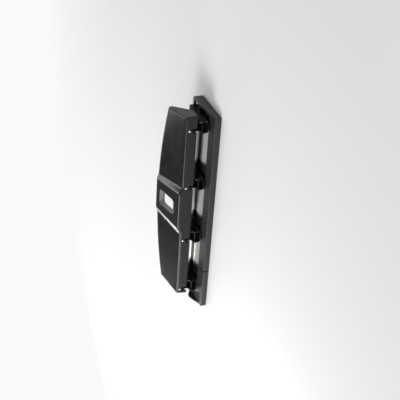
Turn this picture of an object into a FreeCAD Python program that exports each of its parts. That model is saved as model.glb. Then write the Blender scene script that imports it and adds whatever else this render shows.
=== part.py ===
import FreeCAD, Part
import math
import os

# Four-hole paper punch. All sizes in millimetres.
# X runs along the punch, the paper guide's stop flange at the low end. Y runs from the
# paper side to the palm side. Z is up from the desk.

V = FreeCAD.Vector

NEAR = 0.01                   # tolerance when an edge is picked by its place
BEYOND = 20.0                 # reach of cutting shapes past what they cut

# Hole pattern
HOLE_PITCH = 80.0
HOLE_COUNT = 4
HOLE_RADIUS = 2.75            # radius of a punched hole, and of the pin's shank
HOLE_TO_PAPER_EDGE = 12.0     # hole centre to the paper stop

# Base, as seen from outside
BASE_DEPTH = 64.5
RIGHT_MARGIN = 17.0           # last hole to the right end of the base
LEFT_MARGIN = 26.5            # first hole to the outside of the guide's stop flange
FRONT_HEIGHT = 7.8            # top of the front face
APRON_DEPTH = 13.7             # sloping strip between front face and plate
APRON_HEIGHT = 10.0            # top of the apron where it meets the plate
REAR_HEIGHT = 12.3            # top of the rear rim
FOOT_HEIGHT = 0.6             # how far the rubber feet lift the base
RIM_WIDTH = 3.3               # side rims beside the plate
LEFT_DECK = 14.0              # plain deck between the guide's stop flange and the plate
REAR_RIM_WIDTH = 4.0
LEDGE_WIDTH = 2.6             # shelf under the plate's front and side edges
REAR_SHELF = 9.5              # wider shelf under the plate's rear edge, for the screws
FRONT_CORNER_RADIUS = 1.8     # upright corners of the base
EDGE_ROUND = 0.6              # outer top edges of base and guide

# Steel plate
PLATE_THICKNESS = 1.2
PLATE_TOP = 9.8
PLATE_GAP = 0.2               # plate to the rims all round
DIE_CLEARANCE = 0.08          # radial, pin to die hole

# Paper slot and paper stop
SLOT_HEIGHT = 2.1
STOP_THICKNESS = 1.0
STOP_TOP = 14.0               # height of the stop's upper edge
STOP_REVEAL = 2.0             # height of the shadow groove that takes the paper's edge
STOP_REVEAL_DEPTH = 0.9       # stop's bright lip ahead of the groove
STOP_FLANGE = 4.5             # flat foot of the stop behind its face
CENTRE_MARK_WIDTH = 9.0
CENTRE_MARK_REACH = 2.2
CENTRE_MARK_THICKNESS = 0.5

# Punch heads
PIN_FROM_FRONT = 27.0         # pin axis to the base's front face
WALL = 1.2                    # sheet thickness of a head bracket
BRACKET_LEFT = 8.2            # pin axis to the outside of the left wall
BRACKET_RIGHT = 8.2           # pin axis to the outside of the right wall
BRACKET_REAR_MARGIN = 0.8     # rear end of the walls to the plate's rear edge
WALL_TOP = 26.3
WALL_KNEE = 46.5              # where the walls' top edge falls more steeply
WALL_KNEE_TOP = 23.6
WALL_REAR_TOP = 18.4
WALL_STEP = 1.2               # wall's front step ahead of the pin's guide hole
EAR_TOP = 20.4                # top of the ears that hold the pivot pin
EAR_CHAMFER = 1.2
EAR_LEAD_IN = 4.0             # slope at the mouth of the paper slot
NOSE_REACH = 4.4              # rounded front of the lower web ahead of the ears
BRIDGE_TOP = 23.4             # upper guide of the pin
BRIDGE_THICKNESS = 1.4
BRIDGE_REACH = 4.0            # bridge behind the pin axis
STOP_CLEARANCE = 0.3          # bracket to the stop's face and top
FOOT_CLEARANCE = 1.0          # bracket's rear foot behind the stop's flange
RIVET_RADIUS = 1.6
RIVET_HEAD_RADIUS = 2.8
RIVET_HEAD_HEIGHT = 0.9
RIVET_HEAD_ROUND = 0.7
RIVET_INSET = 3.6             # rivet axis to either end of the rear foot
GUIDE_CLEARANCE = 0.05        # radial, pin to its two guides

# Lever
PIVOT_TO_PIN = 11.0
PIVOT_HEIGHT = 17.0
PIVOT_RADIUS = 1.5
PIVOT_HEAD_RADIUS = 2.5
PIVOT_HEAD_HEIGHT = 0.9
PEEN_RADIUS = 2.0             # upset right end of a pivot pin
PEEN_HEIGHT = 0.3
PIVOT_CLEARANCE = 0.05
EYE_RADIUS = 2.8
LEVER_TRAVEL = 20.0           # degrees
ARM_THICKNESS = 1.4
ARM_CENTRE = 6.0              # pin axis to the middle of the arm, to the left
ARM_RIGHT = 4.6               # pin axis to the right edge of the arm's web
ARM_REAR = 5.0                # pin axis to the riser behind it
ARM_LIP = 5.0                 # lip welded under the handle's roof, behind the riser
ARM_BELOW_RIDGE = 3.2         # top of the web below the ridge, at the handle's face
ARM_CHEEK = 5.5               # depth of the arm plate below the web at its rear
FLANGE_WIDTH = 4.4            # front flange of the arm, riveted behind the handle's face
FLANGE_BELOW = 2.1            # flange below the rivet
STUD_HEIGHT = 32.5            # bright rivet over each notch
STUD_RADIUS = 0.9
STUD_HEAD_RADIUS = 1.5
STUD_HEAD_HEIGHT = 0.9
PIN_PLAY = 0.12               # least gap between the arm's web and a pin's head

# Handle shell
SHEET = 1.1
FACE_FROM_FRONT = 17.8        # outside of the handle's front face
FACE_BOTTOM = 23.2
RIDGE_HEIGHT = 36.9
RIDGE_MARGIN = 12.3           # last pin to the end of the ridge
CREST_MARGIN = 7.5            # last pin to the end of the crest
CREST_END_FROM_FRONT = 57.5
CREST_END_HEIGHT = 46.3
CREST_MID_FROM_FRONT = 70.5
CREST_MID_HEIGHT = 51.6
CREST_ROLL = 4.5              # rolled palm edge behind the crest
RIDGE_RADIUS = 3.4
PALM_RADIUS = 5.0
TIGHT_ROUND = 0.5             # least round inside a fold
WING_OVERRUN = 8.0            # wings drawn past the cheeks before these trim them
CHEEK_FLARE = 0.14            # outward lean of the end cheeks
CHEEK_FOLD_RADIUS = 1.5       # folds round the end cheeks
CHEEK_FLAT_END = 35.5         # where the cheek's lower edge turns up
CHEEK_REAR_BEHIND = 3.5       # cheek's rear corner behind the end of the crest
CHEEK_REAR_HEIGHT = 41.0
PALM_LIP_HEIGHT = 44.5
NOTCH_WIDTH = 5.6
NOTCH_TOP = 30.8
TAB_SET_BACK = 0.3            # tab behind the outside of the face

# Raised band across the middle of the handle
BAND_RISE_FRONT = 3.9
BAND_RISE_REAR = 2.0
BAND_FOOT_FRONT = 35.0
BAND_FOOT_REAR = 28.5
BAND_FLAT_FRONT = 26.0
BAND_FLAT_REAR = 20.0
BAND_STEPS = 4
BAND_SUNK = 0.02              # foot of the band below the wings' surface
BAND_SIDE_SHARE = 0.5         # sheet thickness seen sideways on the band's slopes

# Window in the band
WINDOW_WIDTH = 21.0
WINDOW_FRONT = 30.0
WINDOW_REAR = 61.0
WINDOW_RADIUS = 4.0
BEZEL_WALL = 1.2
BEZEL_DEPTH = 6.5
BEZEL_PROUD = 0.3

# Punch pin, its clip and its spring
TIP_GAP = 0.3                 # tip above the ceiling of the paper slot
TIP_NOTCH = 1.2
PIN_HEAD_RADIUS = 3.3
PIN_HEAD_RIM = 0.8
PIN_DOME_RADIUS = 9.0
CLIP_RADIUS = 4.2
CLIP_THICKNESS = 0.8
CLIP_GROOVE = 0.4             # depth of the clip's groove in the pin
CLIP_MOUTH = 4.2              # opening of the clip's ring
SPRING_WIRE = 0.7
SPRING_CLEARANCE = 0.10       # radial, pin to the inside of the coils
SPRING_END_PITCH = 1.2
SPRING_ACTIVE_TURNS = 3
SPRING_SEAT_GAP = 0.03

# Paper guide
GUIDE_HEAD_LENGTH = 57.5      # front piece that slides out, stop flange included
GUIDE_SPLIT = 1.6             # gap between the guide's front piece and the base
GUIDE_TRAVEL = 65.0
GUIDE_PLAY = 0.2
FLANGE_THICKNESS = 2.2
FLANGE_START = 4.5            # foot of the stop flange's rising edge, from the front face
FLANGE_FOOT = 7.4             # height of that foot, inside the guide's sloping top
FLANGE_REACH = 33.5           # stop flange from the front face
FLANGE_TOP = 16.8
FLANGE_HUMP = 22.5            # highest place of the stop flange, from the front face
FLANGE_FRONT_BOW = 0.9        # bow of its rising edge
FLANGE_REAR_BOW = 1.7         # bow of its falling edge
FLANGE_REAR_STEP = 1.0        # rear end of the flange above the apron
BAR_FRONT = 2.4
BAR_WIDTH = 5.0
BAR_BOTTOM = 2.1
BAR_HEIGHT = 2.6
BAR_ENGAGED = 34.0            # bar left inside the base when pulled right out
CHANNEL_FLOOR = 1.0
CHANNEL_PLAY = 0.25
SKIN = 1.5                    # plastic walls of the guide's head and of the base's front

# Chip tray
TRAY_PLAY = 0.6
TRAY_WALL = 1.2
TRAY_LIFT = 0.3               # tray's floor above the underside of the base
TRAY_TOP_GAP = 0.9            # tray's rim to the plate's underside
TRAY_FRONT = 17.5
TRAY_TRUNNION_RADIUS = 1.1
TRAY_TRUNNION_LENGTH = 2.0
TRAY_TRUNNION_CLEARANCE = 0.05
TRAY_HINGE_INSET = 1.7        # trunnion axis to the tray's rear wall and floor
TRAY_HEEL_RADIUS = 1.2        # round of the tray's lower rear edge
TAB_WIDTH = 24.0              # finger tab in the middle of each tray's front
TAB_REACH = 2.0
CROSSBAR_WIDTH = 8.0          # bar of the base between the two trays

# Fasteners and feet
SCREW_RADIUS = 1.3
SCREW_HEAD_RADIUS = 2.4
SCREW_HEAD_HEIGHT = 1.0
SCREW_HEAD_ROUND = 0.5
SCREW_ROOM = 0.5              # hole below the screw's end
SCREW_LENGTH = 5.5
SCREW_BEHIND = 4.6            # screw axis to the plate's rear edge
SCREW_END_GAP = 0.2           # last screw's head to the end of the plate
SLOT_WIDTH = 0.6              # cross slot in the screw's head
SLOT_LENGTH = 2.9
SLOT_DEPTH = 0.6
FOOT_LENGTH = 16.0
FOOT_WIDTH = 5.4
FOOT_SINK = 0.4
FOOT_END_INSET = 12.0
FOOT_FRONT_INSET = 1.9
FOOT_REAR_INSET = 2.0

# Places that follow from the sizes above
PATTERN_SPAN = HOLE_PITCH * (HOLE_COUNT - 1)
BASE_LENGTH = PATTERN_SPAN + LEFT_MARGIN + RIGHT_MARGIN
HANDLE_REAR = CREST_MID_FROM_FRONT + CREST_ROLL
FRONT_Y = -max(HANDLE_REAR, BASE_DEPTH) / 2
LEFT_X = -BASE_LENGTH / 2
RIGHT_X = BASE_LENGTH / 2
PATTERN_X = LEFT_X + LEFT_MARGIN + PATTERN_SPAN / 2
HOLE_X = [PATTERN_X + (i - (HOLE_COUNT - 1) / 2) * HOLE_PITCH for i in range(HOLE_COUNT)]
HOUSING_LEFT = LEFT_X + FLANGE_THICKNESS + GUIDE_PLAY
PLATE_BOTTOM = PLATE_TOP - PLATE_THICKNESS
PLATE_LEFT = HOUSING_LEFT + LEFT_DECK + PLATE_GAP
PLATE_RIGHT = RIGHT_X - RIM_WIDTH - PLATE_GAP
PLATE_FRONT = APRON_DEPTH + PLATE_GAP
PLATE_REAR = BASE_DEPTH - REAR_RIM_WIDTH - PLATE_GAP
SLOT_TOP = PLATE_TOP + SLOT_HEIGHT
STOP_FROM_FRONT = PIN_FROM_FRONT + HOLE_TO_PAPER_EDGE
LIP_FROM_FRONT = STOP_FROM_FRONT - STOP_REVEAL_DEPTH
PIVOT_FROM_FRONT = PIN_FROM_FRONT - PIVOT_TO_PIN
BRACKET_REAR = PLATE_REAR - BRACKET_REAR_MARGIN
FOOT_FRONT = STOP_FROM_FRONT + STOP_FLANGE + FOOT_CLEARANCE
RIDGE_HALF = PATTERN_SPAN / 2 + RIDGE_MARGIN
CREST_HALF = PATTERN_SPAN / 2 + CREST_MARGIN
HALF_TRAVEL = math.radians(LEVER_TRAVEL / 2)
PIN_STROKE = 2 * PIVOT_TO_PIN * math.tan(HALF_TRAVEL)
SPLIT_X = LEFT_X + GUIDE_HEAD_LENGTH


def at(distance):
    """Y of a place given as its distance behind the base's front face."""
    return FRONT_Y + distance


def block(x0, x1, d0, d1, z0, z1):
    """Box between two X, two distances from the front face and two heights."""
    return Part.makeBox(x1 - x0, d1 - d0, z1 - z0, V(x0, at(d0), z0))


def side_prism(points, x0, x1):
    """Prism along X from a closed outline of (distance from front, height) points."""
    corners = [V(x0, at(d), z) for d, z in points]
    face = Part.Face(Part.makePolygon(corners + corners[:1]))
    return face.extrude(V(x1 - x0, 0, 0))


def upright(radius, x, d, z0, z1):
    return Part.makeCylinder(radius, z1 - z0, V(x, at(d), z0))


def crosswise(radius, x0, x1, d, z):
    return Part.makeCylinder(radius, x1 - x0, V(x0, at(d), z), V(1, 0, 0))


def join(shapes):
    result = shapes[0]
    for shape in shapes[1:]:
        result = result.fuse(shape)
    return result.removeSplitter()


def save(name, shape):
    """Write one node. A group keeps its solids apart."""
    solids = shape.Solids
    body = solids[0] if len(solids) == 1 else Part.makeCompound(solids)
    body.exportStep("parts/" + name + ".step")
    print("%-18s solids %2d  volume %9.1f  valid %s" % (name, len(solids), body.Volume, body.isValid()))


def deck_height(d):
    """Height of the base's rims and apron at a distance from the front face."""
    if d <= APRON_DEPTH:
        return FRONT_HEIGHT + (APRON_HEIGHT - FRONT_HEIGHT) * d / APRON_DEPTH
    return APRON_HEIGHT + (REAR_HEIGHT - APRON_HEIGHT) * (d - APRON_DEPTH) / (BASE_DEPTH - APRON_DEPTH)


def base_outline(bottom, depth):
    """Side view of the base from its underside up to rims and apron, cut off at a depth."""
    fold = [(APRON_DEPTH, APRON_HEIGHT)] if depth > APRON_DEPTH else []
    return [(0, bottom), (0, FRONT_HEIGHT)] + fold + [(depth, deck_height(depth)), (depth, bottom)]


# Base housing with guide channel

def is_upright(edge):
    return abs(edge.tangentAt(edge.FirstParameter).z) > 0.999


def rounded_base(x0, x1):
    """Wedge of the base with its upright corners and its outer top edges rounded."""
    wedge = side_prism(base_outline(FOOT_HEIGHT, BASE_DEPTH), x0, x1)
    wedge = wedge.makeFillet(FRONT_CORNER_RADIUS, [e for e in wedge.Edges if is_upright(e)])
    middle = (x0 + x1) / 2
    edges = []
    for edge in wedge.Edges:
        low = edge.BoundBox.ZMin < FOOT_HEIGHT + EDGE_ROUND
        centre = edge.CenterOfMass
        fold = abs(centre.y - at(APRON_DEPTH)) < EDGE_ROUND and abs(centre.x - middle) < EDGE_ROUND
        if not (low or fold or is_upright(edge)):
            edges.append(edge)
    return wedge.makeFillet(EDGE_ROUND, edges)


def screw_places():
    """Screws behind the brackets: one between each two heads and one at the right end."""
    between = [(a + b) / 2 for a, b in zip(HOLE_X, HOLE_X[1:])]
    return between + [PLATE_RIGHT - SCREW_HEAD_RADIUS - SCREW_END_GAP]


def foot_places():
    """Lower front left corner of each rubber foot."""
    xs = (HOUSING_LEFT + FOOT_END_INSET, RIGHT_X - FOOT_END_INSET - FOOT_LENGTH)
    ds = (FOOT_FRONT_INSET, BASE_DEPTH - FOOT_REAR_INSET - FOOT_WIDTH)
    return [(x, d) for x in xs for d in ds]


def make_housing():
    body = rounded_base(HOUSING_LEFT, RIGHT_X)
    top = REAR_HEIGHT + 1
    rear = PLATE_REAR + PLATE_GAP
    plate_pocket = block(PLATE_LEFT - PLATE_GAP, PLATE_RIGHT + PLATE_GAP, APRON_DEPTH, rear,
                         PLATE_BOTTOM, top)
    over_deck = block(HOUSING_LEFT + RIM_WIDTH, PLATE_LEFT, APRON_DEPTH, rear, PLATE_TOP, top)
    body = body.cut(plate_pocket).cut(over_deck)
    for left, right in chip_wells():
        body = body.cut(block(left, right, TRAY_FRONT, PLATE_REAR - REAR_SHELF, 0, PLATE_BOTTOM))
        body = body.cut(tray_tab_recess(left, right)).cut(tray_sockets(left, right))
    # The front left corner is the sliding guide's own piece, on a thin floor.
    floor_top = FOOT_HEIGHT + CHANNEL_FLOOR
    head_depth = APRON_DEPTH - WALL
    head_room = block(HOUSING_LEFT - 1, SPLIT_X + GUIDE_SPLIT, -1, head_depth, floor_top, top)
    floor_front = block(HOUSING_LEFT - 1, SPLIT_X + GUIDE_SPLIT, -1, SKIN + CHANNEL_PLAY, 0, floor_top)
    bar_end = SPLIT_X + GUIDE_TRAVEL + BAR_ENGAGED
    channel = block(HOUSING_LEFT - 1, bar_end + CHANNEL_PLAY, BAR_FRONT - CHANNEL_PLAY,
                    BAR_FRONT + BAR_WIDTH + CHANNEL_PLAY, floor_top, BAR_BOTTOM + BAR_HEIGHT + CHANNEL_PLAY)
    body = body.cut(head_room).cut(floor_front).cut(channel)
    for x in screw_places():
        low = PLATE_TOP - SCREW_LENGTH
        body = body.cut(upright(SCREW_RADIUS, x, PLATE_REAR - SCREW_BEHIND, low, PLATE_TOP))
    for x, d in foot_places():
        body = body.cut(block(x, x + FOOT_LENGTH, d, d + FOOT_WIDTH, 0, FOOT_HEIGHT + FOOT_SINK))
    return body


# Chip tray

TRAY_NEAR = TRAY_FRONT + TRAY_PLAY
TRAY_FAR = PLATE_REAR - REAR_SHELF - TRAY_PLAY
TRAY_BOTTOM = FOOT_HEIGHT + TRAY_LIFT
TRAY_TOP = PLATE_BOTTOM - TRAY_TOP_GAP
HINGE_D = TRAY_FAR - TRAY_HINGE_INSET
HINGE_Z = TRAY_BOTTOM + TRAY_HINGE_INSET


def chip_wells():
    """Ends in X of the two wells under the plate, each below two heads."""
    middle = CROSSBAR_WIDTH / 2
    return [(PLATE_LEFT + LEDGE_WIDTH, PATTERN_X - middle), (PATTERN_X + middle, PLATE_RIGHT - LEDGE_WIDTH)]


def tray_sockets(left, right):
    radius = TRAY_TRUNNION_RADIUS + TRAY_TRUNNION_CLEARANCE
    reach = TRAY_TRUNNION_LENGTH - TRAY_PLAY / 2
    return crosswise(radius, left - reach, right + reach, HINGE_D, HINGE_Z)


def tray_tab_recess(left, right):
    """Finger room in front of a tray, in the underside of the base."""
    middle = (left + right) / 2
    half = TAB_WIDTH / 2 + TRAY_PLAY
    top = TRAY_BOTTOM + TRAY_WALL + TRAY_PLAY
    return block(middle - half, middle + half, TRAY_FRONT - TAB_REACH, TRAY_NEAR, 0, top)


def make_tray(left_wall, right_wall):
    """Open chip tray with a finger tab in front and a trunnion at each end of its rear edge."""
    left = left_wall + TRAY_PLAY
    right = right_wall - TRAY_PLAY
    middle = (left_wall + right_wall) / 2
    outside = block(left, right, TRAY_NEAR, TRAY_FAR, TRAY_BOTTOM, TRAY_TOP)
    rear_edges = [e for e in outside.Edges if abs(e.CenterOfMass.y - at(TRAY_FAR)) < NEAR
                  and abs(e.tangentAt(e.FirstParameter).x) > 0.999]
    outside = outside.makeFillet(TRAY_HEEL_RADIUS, [min(rear_edges, key=lambda e: e.CenterOfMass.z)])
    inside = block(left + TRAY_WALL, right - TRAY_WALL, TRAY_NEAR + TRAY_WALL, TRAY_FAR - TRAY_WALL,
                   TRAY_BOTTOM + TRAY_WALL, TRAY_TOP + 1)
    tab = block(middle - TAB_WIDTH / 2, middle + TAB_WIDTH / 2, TRAY_FRONT - TAB_REACH + TRAY_PLAY,
                TRAY_NEAR + TRAY_WALL, TRAY_BOTTOM, TRAY_BOTTOM + TRAY_WALL)
    ends = ((left - TRAY_TRUNNION_LENGTH, left + TRAY_WALL),
            (right - TRAY_WALL, right + TRAY_TRUNNION_LENGTH))
    pins = [crosswise(TRAY_TRUNNION_RADIUS, start, end, HINGE_D, HINGE_Z) for start, end in ends]
    return join([outside.cut(inside), tab] + pins)


# Sliding paper guide

def bowed(start, end, bow):
    """Arc in an upright plane across the punch, bowed upwards by a height over its chord."""
    chord = end - start
    outward = V(0, -chord.z, chord.y).normalize()
    return Part.Arc(start, (start + end) * 0.5 + outward * bow, end).toShape()


def flange_outline():
    """Stop flange, seen from the end: low at the front, a rounded hump, down to the plate."""
    bottom = FOOT_HEIGHT + GUIDE_PLAY
    low = V(LEFT_X, at(FLANGE_START), FLANGE_FOOT)
    hump = V(LEFT_X, at(FLANGE_HUMP), FLANGE_TOP)
    rear_top = V(LEFT_X, at(FLANGE_REACH), APRON_HEIGHT + FLANGE_REAR_STEP)
    rise = bowed(low, hump, FLANGE_FRONT_BOW)
    fall = bowed(hump, rear_top, FLANGE_REAR_BOW)
    rear = Part.makeLine(rear_top, V(LEFT_X, at(FLANGE_REACH), bottom))
    under = Part.makeLine(V(LEFT_X, at(FLANGE_REACH), bottom), V(LEFT_X, at(FLANGE_START), bottom))
    front = Part.makeLine(V(LEFT_X, at(FLANGE_START), bottom), low)
    return Part.Face(Part.Wire([rise, fall, rear, under, front]))


def make_guide():
    bottom = FOOT_HEIGHT + GUIDE_PLAY
    depth = APRON_DEPTH - WALL - GUIDE_PLAY
    outer = side_prism(base_outline(bottom, depth), LEFT_X, SPLIT_X)
    front_edges = [e for e in outer.Edges if abs(e.CenterOfMass.y - at(0)) < EDGE_ROUND
                   and abs(e.CenterOfMass.z - FRONT_HEIGHT) < EDGE_ROUND]
    outer = outer.makeFillet(EDGE_ROUND, front_edges)
    floor_room = FOOT_HEIGHT + CHANNEL_FLOOR + GUIDE_PLAY
    hollow = side_prism([(SKIN, floor_room), (SKIN, deck_height(SKIN) - SKIN),
                         (depth - SKIN, deck_height(depth - SKIN) - SKIN), (depth - SKIN, floor_room)],
                        LEFT_X + FLANGE_THICKNESS, SPLIT_X - SKIN)
    clear_floor = block(LEFT_X + FLANGE_THICKNESS, SPLIT_X, SKIN, depth, 0, floor_room)
    flange = flange_outline().extrude(V(FLANGE_THICKNESS, 0, 0))
    rims = [e for e in flange.Edges if e.Curve.TypeId == "Part::GeomCircle"]
    flange = flange.makeFillet(EDGE_ROUND, rims)
    bar = block(LEFT_X + FLANGE_THICKNESS, SPLIT_X + GUIDE_TRAVEL + BAR_ENGAGED,
                BAR_FRONT, BAR_FRONT + BAR_WIDTH, BAR_BOTTOM, BAR_BOTTOM + BAR_HEIGHT)
    return join([outer.cut(hollow).cut(clear_floor), flange, bar])


# Steel plate and paper stop

def rivet_places():
    return [(x, d) for x in HOLE_X for d in (FOOT_FRONT + RIVET_INSET, BRACKET_REAR - RIVET_INSET)]


def make_plate():
    body = block(PLATE_LEFT, PLATE_RIGHT, PLATE_FRONT, PLATE_REAR, PLATE_BOTTOM, PLATE_TOP)
    for x in HOLE_X:
        body = body.cut(upright(HOLE_RADIUS + DIE_CLEARANCE, x, PIN_FROM_FRONT, 0, PLATE_TOP + 1))
    for x, d in rivet_places():
        body = body.cut(upright(RIVET_RADIUS, x, d, 0, PLATE_TOP + 1))
    for x in screw_places():
        body = body.cut(upright(SCREW_RADIUS, x, PLATE_REAR - SCREW_BEHIND, 0, PLATE_TOP + 1))
    return body


def make_stop():
    """Bright rail that the paper's edge meets, with a shadow groove and a centre mark."""
    front = LIP_FROM_FRONT
    step = STOP_REVEAL_DEPTH
    rail = side_prism([(front + step, PLATE_TOP), (front + step, PLATE_TOP + STOP_REVEAL),
                       (front, PLATE_TOP + STOP_REVEAL), (front, STOP_TOP),
                       (front + STOP_THICKNESS, STOP_TOP),
                       (front + STOP_THICKNESS, PLATE_TOP + STOP_REVEAL + STOP_THICKNESS),
                       (front + step + STOP_THICKNESS, PLATE_TOP + STOP_REVEAL),
                       (front + step + STOP_THICKNESS, PLATE_TOP + STOP_THICKNESS),
                       (front + STOP_FLANGE, PLATE_TOP + STOP_THICKNESS), (front + STOP_FLANGE, PLATE_TOP)],
                      PLATE_LEFT + PLATE_GAP, PLATE_RIGHT - PLATE_GAP)
    mark = block(PATTERN_X - CENTRE_MARK_WIDTH / 2, PATTERN_X + CENTRE_MARK_WIDTH / 2,
                 front - CENTRE_MARK_REACH, front + step + STOP_THICKNESS / 2,
                 PLATE_TOP, PLATE_TOP + CENTRE_MARK_THICKNESS)
    return join([rail, mark])


# Head brackets

EAR_FRONT = PIVOT_FROM_FRONT - EYE_RADIUS
BRIDGE_BOTTOM = BRIDGE_TOP - BRIDGE_THICKNESS
BRIDGE_REAR = PIN_FROM_FRONT + BRIDGE_REACH
RISE_FROM_FRONT = PIN_FROM_FRONT - HOLE_RADIUS - WALL_STEP


def wall_outline():
    """Side wall: ears low at the front, a step up behind the handle's face, a falling rear."""
    tunnel_top = STOP_TOP + STOP_CLEARANCE
    tunnel_front = LIP_FROM_FRONT - STOP_CLEARANCE
    return [(EAR_FRONT, SLOT_TOP + WALL), (EAR_FRONT, EAR_TOP - EAR_CHAMFER),
            (EAR_FRONT + EAR_CHAMFER, EAR_TOP), (RISE_FROM_FRONT - 2 * WALL_STEP, EAR_TOP),
            (RISE_FROM_FRONT - WALL_STEP, EAR_TOP + WALL_STEP / 2),
            (RISE_FROM_FRONT, BRIDGE_BOTTOM), (RISE_FROM_FRONT + WALL_STEP / 3, WALL_TOP),
            (BRIDGE_REAR, WALL_TOP), (WALL_KNEE, WALL_KNEE_TOP), (BRACKET_REAR, WALL_REAR_TOP),
            (BRACKET_REAR, PLATE_TOP),
            (FOOT_FRONT, PLATE_TOP), (FOOT_FRONT, tunnel_top), (tunnel_front, tunnel_top),
            (tunnel_front, SLOT_TOP), (EAR_FRONT + EAR_LEAD_IN, SLOT_TOP)]


def lower_web(x):
    """Web over the paper slot, with a rounded nose at the paper side."""
    left = x - BRACKET_LEFT
    right = x + BRACKET_RIGHT
    middle = (left + right) / 2
    rear = LIP_FROM_FRONT - STOP_CLEARANCE
    nose = Part.Arc(V(right, at(EAR_FRONT), SLOT_TOP), V(middle, at(EAR_FRONT - NOSE_REACH), SLOT_TOP),
                    V(left, at(EAR_FRONT), SLOT_TOP)).toShape()
    sides = [Part.makeLine(V(left, at(EAR_FRONT), SLOT_TOP), V(left, at(rear), SLOT_TOP)),
             Part.makeLine(V(left, at(rear), SLOT_TOP), V(right, at(rear), SLOT_TOP)),
             Part.makeLine(V(right, at(rear), SLOT_TOP), V(right, at(EAR_FRONT), SLOT_TOP))]
    return Part.Face(Part.Wire([nose] + sides)).extrude(V(0, 0, WALL))


def make_bracket(x):
    left = side_prism(wall_outline(), x - BRACKET_LEFT, x - BRACKET_LEFT + WALL)
    right = side_prism(wall_outline(), x + BRACKET_RIGHT - WALL, x + BRACKET_RIGHT)
    foot = block(x - BRACKET_LEFT, x + BRACKET_RIGHT, FOOT_FRONT, BRACKET_REAR, PLATE_TOP, PLATE_TOP + WALL)
    bridge = block(x - ARM_CENTRE + ARM_THICKNESS, x + BRACKET_RIGHT, RISE_FROM_FRONT, BRIDGE_REAR,
                   BRIDGE_BOTTOM, BRIDGE_TOP)
    body = join([left, right, foot, bridge, lower_web(x)])
    body = body.cut(upright(HOLE_RADIUS + GUIDE_CLEARANCE, x, PIN_FROM_FRONT, SLOT_TOP - 1, WALL_TOP))
    left = x - BRACKET_LEFT - 1
    right = x + BRACKET_RIGHT + 1
    body = body.cut(crosswise(PIVOT_RADIUS, left, right, PIVOT_FROM_FRONT, PIVOT_HEIGHT))
    for place, d in rivet_places():
        if place == x:
            body = body.cut(upright(RIVET_RADIUS, x, d, PLATE_TOP - 1, PLATE_TOP + WALL + 1))
    return body


def make_pivot_pins():
    pins = []
    for x in HOLE_X:
        left = x - BRACKET_LEFT
        right = x + BRACKET_RIGHT
        shank = crosswise(PIVOT_RADIUS, left, right, PIVOT_FROM_FRONT, PIVOT_HEIGHT)
        head = crosswise(PIVOT_HEAD_RADIUS, left - PIVOT_HEAD_HEIGHT, left, PIVOT_FROM_FRONT, PIVOT_HEIGHT)
        peen = crosswise(PEEN_RADIUS, right, right + PEEN_HEIGHT, PIVOT_FROM_FRONT, PIVOT_HEIGHT)
        outer = left - PIVOT_HEAD_HEIGHT
        rim = [e for e in head.Edges if e.Closed and abs(e.CenterOfMass.x - outer) < NEAR]
        head = head.makeFillet(PIVOT_HEAD_HEIGHT / 2, rim)
        pins.append(join([shank, head, peen]))
    return Part.makeCompound(pins)


def make_rivets():
    """Rivets through each bracket's rear foot, set flush under the plate."""
    rivets = []
    for x, d in rivet_places():
        top = PLATE_TOP + WALL
        shank = upright(RIVET_RADIUS, x, d, PLATE_BOTTOM, top)
        head = upright(RIVET_HEAD_RADIUS, x, d, top, top + RIVET_HEAD_HEIGHT)
        rim = [e for e in head.Edges if e.Closed and abs(e.CenterOfMass.z - (top + RIVET_HEAD_HEIGHT)) < NEAR]
        head = head.makeFillet(RIVET_HEAD_ROUND, rim)
        rivets.append(join([shank, head]))
    return Part.makeCompound(rivets)


# Punch pin, clip and spring

TIP_HEIGHT = SLOT_TOP + TIP_GAP
WEB_RISE = ARM_THICKNESS / math.cos(HALF_TRAVEL)


def web_height(d):
    """Underside of the lever arm's top web at rest, at a distance from the front face."""
    highest = RIDGE_HEIGHT - ARM_BELOW_RIDGE
    start = FACE_FROM_FRONT + SHEET
    return highest - WEB_RISE + (d - start) * math.tan(HALF_TRAVEL)


def pin_top():
    """Highest place for the pin's dome that keeps PIN_PLAY under the web at mid travel."""
    rise = web_height(PIN_FROM_FRONT) - PIVOT_HEIGHT
    reach = rise * math.cos(HALF_TRAVEL) - PIVOT_TO_PIN * math.sin(HALF_TRAVEL)
    return PIVOT_HEIGHT + reach + PIN_STROKE / 2 - PIN_PLAY


PIN_TOP = pin_top()
DOME_SAG = PIN_DOME_RADIUS - math.sqrt(PIN_DOME_RADIUS ** 2 - PIN_HEAD_RADIUS ** 2)
PIN_HEAD_BOTTOM = PIN_TOP - DOME_SAG - PIN_HEAD_RIM
CLIP_TOP = BRIDGE_BOTTOM
SPRING_RADIUS = HOLE_RADIUS + SPRING_CLEARANCE + SPRING_WIRE / 2


def make_pin(x):
    shank = upright(HOLE_RADIUS, x, PIN_FROM_FRONT, TIP_HEIGHT, PIN_HEAD_BOTTOM)
    wide = HOLE_RADIUS + 1
    notch = side_prism([(PIN_FROM_FRONT - wide, TIP_HEIGHT - 1), (PIN_FROM_FRONT, TIP_HEIGHT + TIP_NOTCH),
                        (PIN_FROM_FRONT + wide, TIP_HEIGHT - 1)], x - wide, x + wide)
    groove = upright(wide, x, PIN_FROM_FRONT, CLIP_TOP - CLIP_THICKNESS, CLIP_TOP)
    core = HOLE_RADIUS - CLIP_GROOVE
    groove = groove.cut(upright(core, x, PIN_FROM_FRONT, CLIP_TOP - CLIP_THICKNESS, CLIP_TOP))
    head = upright(PIN_HEAD_RADIUS, x, PIN_FROM_FRONT, PIN_HEAD_BOTTOM, PIN_TOP)
    dome = Part.makeSphere(PIN_DOME_RADIUS, V(x, at(PIN_FROM_FRONT), PIN_TOP - PIN_DOME_RADIUS))
    return join([shank.cut(notch).cut(groove), head.common(dome)])


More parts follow.
